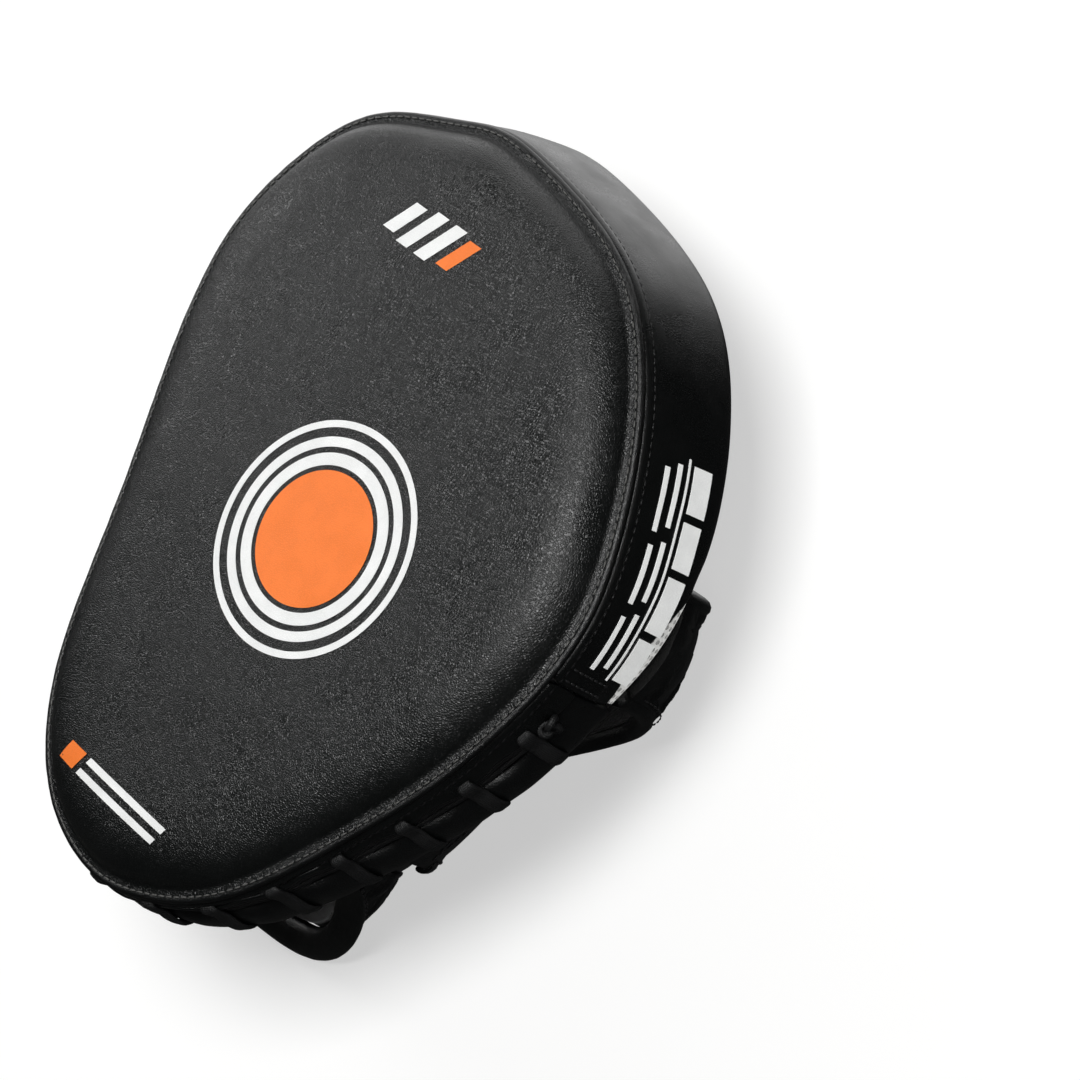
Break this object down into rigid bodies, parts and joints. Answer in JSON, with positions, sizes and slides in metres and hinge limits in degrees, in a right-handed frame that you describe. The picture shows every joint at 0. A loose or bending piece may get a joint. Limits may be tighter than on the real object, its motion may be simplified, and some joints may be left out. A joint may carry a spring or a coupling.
{
  "type": "focus mitt",
  "caption": "Right-hand boxing focus mitt: padded D-shaped strike face with a round target, laced wrist wall, finger hood, hand strap, wrist cuff and thumb loop.",
  "frame": {"origin": "middle of the mitt's footprint on the surface it lies on, glove side down", "axes": "+X across the face towards the thumb side, +Y along the hand towards the fingertips, +Z out of the strike face"},
  "size_m": [0.2196, 0.2806, 0.1051],
  "materials": {
    "leather_black": "pebbled synthetic leather, semi-gloss",
    "foam_grey": "closed-cell foam",
    "foam_pale": "open-cell foam",
    "suede_black": "matte suede-like fabric",
    "binding_black": "smooth bound edge",
    "rubber_black": "moulded matte patch",
    "hook_loop_black": "hook and loop tape",
    "lace_black": "woven lace",
    "mesh_white": "open spacer mesh",
    "mesh_black": "open mesh lining",
    "print_orange": "printed film",
    "print_white": "printed film"
  },
  "bodies": {
    "mitt": {"back_foam": "foam_pale", "back_panel": "suede_black", "back_skirt": "leather_black", "core_foam": "foam_grey", "cuff_root": "leather_black", "cuff_tab_outer": "binding_black", "cuff_tab_thumb": "binding_black", "face_foam": "foam_grey", "front_skirt": "leather_black", "gusset_band": "leather_black", "gusset_rim": "leather_black", "hood_binding": "binding_black", "hood_cover": "leather_black", "hood_lining": "suede_black", "hood_side_outer": "leather_black", "hood_side_thumb": "mesh_white", "lace_front": "lace_black", "lace_knot_outer": "lace_black", "lace_knot_thumb": "lace_black", "lace_rear": "lace_black", "lace_wrap_01": "lace_black", "lace_wrap_02": "lace_black", "lace_wrap_03": "lace_black", "lace_wrap_04": "lace_black", "lace_wrap_05": "lace_black", "lace_wrap_06": "lace_black", "lace_wrap_07": "lace_black", "lace_wrap_08": "lace_black", "lace_wrap_09": "lace_black", "lace_wrap_10": "lace_black", "lace_wrap_11": "lace_black", "lace_wrap_12": "lace_black", "lace_wrap_13": "lace_black", "lace_wrap_14": "lace_black", "lap_strip_outer": "leather_black", "lap_strip_thumb": "leather_black", "outer_wing": "leather_black", "palm_pad": "suede_black", "seam_welt": "leather_black", "strap_anchor": "leather_black", "strap_loop_pad": "hook_loop_black", "strike_face": "leather_black", "target_disc": "print_orange", "target_ring_inner": "print_white", "target_ring_middle": "print_white", "target_ring_outer": "print_white", "thumb_loop": "leather_black", "thumb_loop_lining": "mesh_black"},
    "strap": {"hand_strap": "leather_black", "strap_binding_rear": "binding_black", "strap_binding_front": "binding_black", "strap_patch": "rubber_black", "strap_hook_pad": "hook_loop_black"},
    "cuff": {"cuff_pad": "leather_black", "cuff_binding": "binding_black", "cuff_lining": "suede_black"}
  },
  "joints": [
    {"name": "strap_peel", "type": "hinge", "parent": "mitt", "child": "strap", "pos_m": [0.06459, -0.0611, 0.03067], "axis": [-0.2774, -0.9603, 0.0283], "range_deg": [0, 130]},
    {"name": "cuff_flex", "type": "hinge", "parent": "mitt", "child": "cuff", "pos_m": [0.00169, -0.0881, 0.0095], "axis": [1, 0, 0], "range_deg": [0, 25], "stiffness_Nm_per_rad": 0.6}
  ]
}
